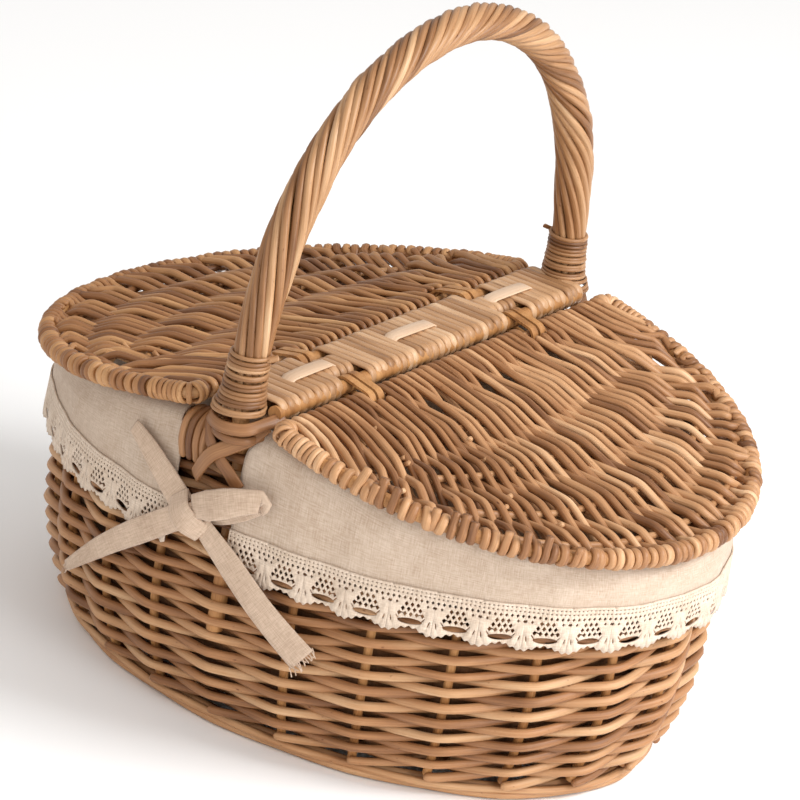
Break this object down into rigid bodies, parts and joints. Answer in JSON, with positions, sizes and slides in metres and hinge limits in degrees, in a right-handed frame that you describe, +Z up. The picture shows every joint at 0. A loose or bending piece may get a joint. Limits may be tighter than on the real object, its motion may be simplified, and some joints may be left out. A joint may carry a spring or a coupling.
{
  "type": "wicker picnic basket",
  "caption": "Oval woven willow picnic basket with a twisted arch handle, a fixed bridge, hinged lids and a linen liner edged with lace.",
  "frame": {"origin": "on the ground under the middle of the base", "axes": "+Z up, X along the basket from the left lid to the right lid, -Y towards the front handle foot"},
  "size_m": [0.4026, 0.325, 0.373],
  "materials": {
    "willow_body": "golden brown buff willow, satin, fine grain along each rod",
    "willow_lid": "golden brown buff willow, satin, lighter on worn crowns",
    "willow_handle": "smooth peeled willow rods, satin",
    "split_skein": "pale split willow skein, satin",
    "linen": "greige plain-weave linen, matte with slubs",
    "lace": "cream cotton crochet lace, matte"
  },
  "bodies": {
    "basket": {"base_weave": "willow_body", "base_long_sticks": "willow_body", "base_cross_sticks": "willow_body", "foot_border": "willow_body", "side_weave": "willow_body", "side_stakes": "willow_body", "rim_border": "willow_body", "handle_core": "willow_handle", "handle_twist_rods": "willow_handle", "handle_binding_front": "split_skein", "handle_binding_back": "split_skein", "handle_lashing_front": "split_skein", "handle_lashing_back": "split_skein", "bridge_rails": "willow_handle", "bridge_slats": "willow_handle", "bridge_wrap": "split_skein", "bridge_strips": "split_skein", "liner_bag": "linen", "liner_skirt_left": "linen", "liner_skirt_right": "linen", "lace_left": "lace", "lace_right": "lace", "tie_front": "linen", "tie_back": "linen"},
    "lid_left": {"lid_left_hoop": "willow_lid", "lid_left_hoop_wrap": "split_skein", "lid_left_edge_rod": "willow_lid", "lid_left_ribs": "willow_lid", "lid_left_weave": "willow_lid", "lid_left_hinge_loops": "split_skein"},
    "lid_right": {"lid_right_hoop": "willow_lid", "lid_right_hoop_wrap": "split_skein", "lid_right_edge_rod": "willow_lid", "lid_right_ribs": "willow_lid", "lid_right_weave": "willow_lid", "lid_right_hinge_loops": "split_skein"}
  },
  "joints": [
    {"name": "lid_left_hinge", "type": "hinge", "parent": "basket", "child": "lid_left", "pos_m": [-0.0155, 0, 0.1873], "axis": [0, 1, 0], "range_deg": [0, 90]},
    {"name": "lid_right_hinge", "type": "hinge", "parent": "basket", "child": "lid_right", "pos_m": [0.0155, 0, 0.1873], "axis": [0, -1, 0], "range_deg": [0, 90]}
  ]
}
